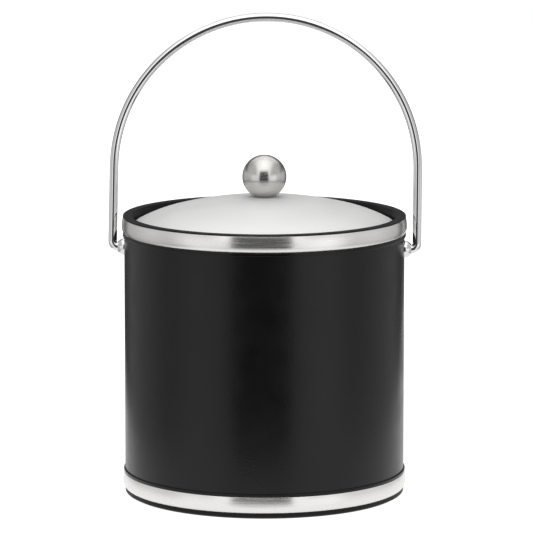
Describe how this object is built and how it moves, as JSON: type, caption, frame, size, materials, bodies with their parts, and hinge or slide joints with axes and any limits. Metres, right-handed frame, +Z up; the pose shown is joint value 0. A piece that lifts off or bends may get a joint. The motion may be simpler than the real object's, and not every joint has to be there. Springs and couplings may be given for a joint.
{
  "type": "ice bucket",
  "caption": "Round insulated ice bucket with a black leatherette body, metal bands, a low domed lift-off lid with a ball knob, and a chrome bail handle.",
  "frame": {"origin": "centre of the circle the foot ring rests on", "axes": "+Z up through the lid's knob, +X along the bail's pivot axis towards the right-hand pivot, +Y to the back where the cover's seam is"},
  "size_m": [0.1992, 0.181, 0.3031],
  "materials": {
    "black_moulding": "satin",
    "black_trim": "gloss",
    "fibreboard": "matte",
    "leatherette": "satin",
    "foam": "matte",
    "brushed_band": "satin",
    "satin_lid": "satin",
    "brushed_knob": "satin",
    "chrome": "polished",
    "nylon": "satin",
    "zinc_steel": "satin",
    "spring_steel": "satin",
    "rubber": "matte"
  },
  "bodies": {
    "bucket": {"liner": "black_moulding", "outer_shell": "fibreboard", "vinyl_cover": "leatherette", "insulation_sleeve": "foam", "insulation_disc": "foam", "top_band": "brushed_band", "top_bead": "black_trim", "bottom_band": "brushed_band", "bottom_bead": "black_trim", "base_pan": "black_moulding", "foot_ring": "rubber", "pivot_ball_left": "chrome", "pivot_ball_right": "chrome", "pivot_bush_left": "nylon", "pivot_bush_right": "nylon", "pivot_washers": "zinc_steel", "pivot_nuts": "zinc_steel"},
    "handle": {"bail_handle": "chrome", "bail_push_nuts": "spring_steel"},
    "lid": {"lid_dome": "satin_lid", "lid_inner_cover": "black_moulding", "lid_insulation": "foam", "lid_knob": "brushed_knob", "knob_screw": "zinc_steel", "knob_washer": "rubber"}
  },
  "joints": [
    {"name": "handle_swing", "type": "hinge", "parent": "bucket", "child": "handle", "pos_m": [0, 0, 0.1569], "axis": [1, 0, 0], "range_deg": [-126.5, 154.5]},
    {"name": "lid_lift", "type": "slide", "parent": "bucket", "child": "lid", "axis": [0, 0, 1], "range_m": [0, 0.065]}
  ]
}
